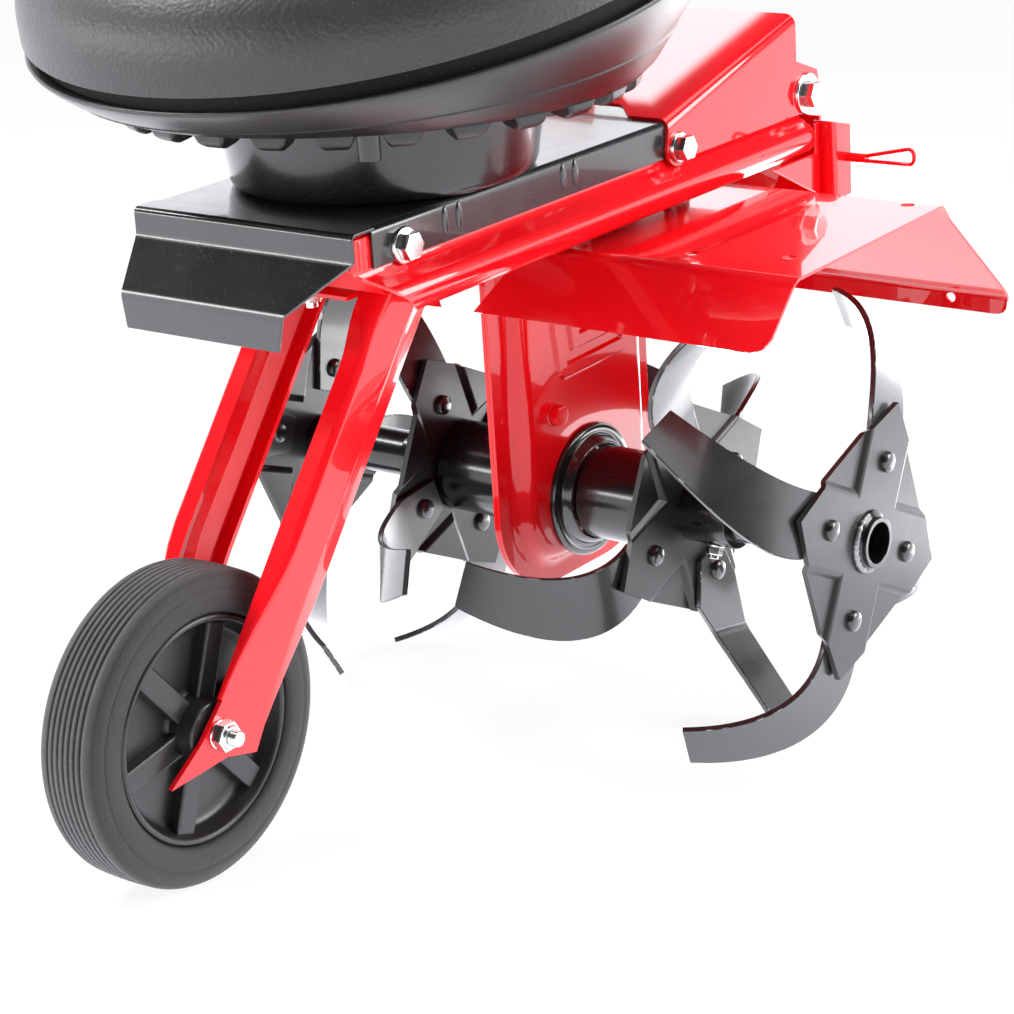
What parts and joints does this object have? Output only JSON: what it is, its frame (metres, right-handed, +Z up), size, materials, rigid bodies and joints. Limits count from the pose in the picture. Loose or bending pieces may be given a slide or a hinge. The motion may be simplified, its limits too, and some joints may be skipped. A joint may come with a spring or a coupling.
{
  "type": "electric tiller",
  "caption": "Small electric garden tiller: motor hood on a pressed deck, front wheel on a raked fork, gear case and curved tines under guards.",
  "frame": {"origin": "on the ground under the middle of the machine's box", "axes": "+X to the machine's left, +Y to its rear, +Z up"},
  "size_m": [0.378, 0.526, 0.5027],
  "materials": {
    "frame_red": "gloss",
    "guard_red": "gloss",
    "case_red": "gloss",
    "fork_red": "gloss",
    "deck_black": "semi-gloss",
    "base_black": "gloss",
    "dish_black": "satin",
    "slot_dark": "matte",
    "cap_black": "textured",
    "flange_black": "gloss",
    "plate_black": "satin",
    "blade_black": "satin",
    "tube_black": "gloss",
    "rivet_black": "worn",
    "zinc": "plated",
    "steel": "turned",
    "pulley_iron": "turned",
    "bronze": "machined",
    "winding": "lacquered",
    "copper": "turned",
    "fan_plastic": "moulded",
    "belt": "matte",
    "tyre": "matte",
    "rim_black": "satin"
  },
  "bodies": {
    "chassis": {"main_frame": "frame_red", "front_crossmember": "frame_red", "rear_crossmember": "frame_red", "handle_bracket": "frame_red", "guard_left": "guard_red", "guard_right": "guard_red", "gear_case_left": "case_red", "gear_case_right": "case_red", "case_bolts": "case_red", "deck_cover": "deck_black", "motor_base": "base_black", "hood_dish": "dish_black", "vent_ring": "slot_dark", "hood_cap": "cap_black", "axle_flanges": "flange_black", "deck_bolts": "zinc", "handle_bolts": "zinc", "fork_pivot": "zinc", "hood_screws": "zinc", "guard_posts": "zinc", "axle_bearings": "steel", "motor_bearings": "steel", "gearbox_plate": "steel", "motor_can": "steel", "worm_bearings": "bronze", "stator": "winding", "drive_belt": "belt"},
    "motor_rotor": {"motor_shaft": "steel", "armature": "winding", "commutator": "copper", "cooling_fan": "fan_plastic", "motor_pulley": "pulley_iron"},
    "worm_drive": {"worm_shaft": "steel", "driven_pulley": "pulley_iron"},
    "tines": {"tine_axle": "steel", "worm_wheel": "bronze", "clevis_bolts": "zinc", "hub_tube_left": "tube_black", "hub_tube_right": "tube_black", "outer_tube_left": "tube_black", "outer_tube_right": "tube_black", "inner_plate_left": "plate_black", "inner_plate_right": "plate_black", "outer_plate_left": "plate_black", "outer_plate_right": "plate_black", "inner_blades_left": "blade_black", "inner_blades_right": "blade_black", "outer_blades_left": "blade_black", "outer_blades_right": "blade_black", "tine_rivets_left": "rivet_black", "tine_rivets_right": "rivet_black"},
    "front_fork": {"fork_leg_left": "fork_red", "fork_leg_right": "fork_red", "fork_bridge": "fork_red", "bridge_nut": "zinc", "wheel_axle": "zinc", "wheel_spacers": "steel"},
    "front_wheel": {"tyre": "tyre", "wheel_rim": "rim_black"},
    "lock_pin": {"hitch_pin": "frame_red"}
  },
  "joints": [
    {"name": "tine_spin", "type": "hinge", "parent": "chassis", "child": "tines", "pos_m": [0, 0.1178, 0.1251], "axis": [1, 0, 0], "continuous": true},
    {"name": "worm_spin", "type": "hinge", "parent": "chassis", "child": "worm_drive", "pos_m": [0, 0.08399, 0.12152], "axis": [0, -0.1054, 0.9944], "continuous": true},
    {"name": "motor_spin", "type": "hinge", "parent": "chassis", "child": "motor_rotor", "pos_m": [0, -0.04429, 0.35932], "axis": [0, -0.1054, 0.9944], "continuous": true},
    {"name": "fork_fold", "type": "hinge", "parent": "chassis", "child": "front_fork", "pos_m": [0, -0.06198, 0.27197], "axis": [1, 0, 0], "range_deg": [0, 25]},
    {"name": "wheel_spin", "type": "hinge", "parent": "front_fork", "child": "front_wheel", "pos_m": [0, -0.18802, 0.07499], "axis": [1, 0, 0], "continuous": true},
    {"name": "pin_pull", "type": "slide", "parent": "chassis", "child": "lock_pin", "axis": [1, 0, 0], "range_m": [0, 0.03]}
  ],
  "couplings": [
    {"joint": "worm_spin", "follows": "tine_spin", "ratio": 36},
    {"joint": "motor_spin", "follows": "tine_spin", "ratio": 97.875}
  ]
}
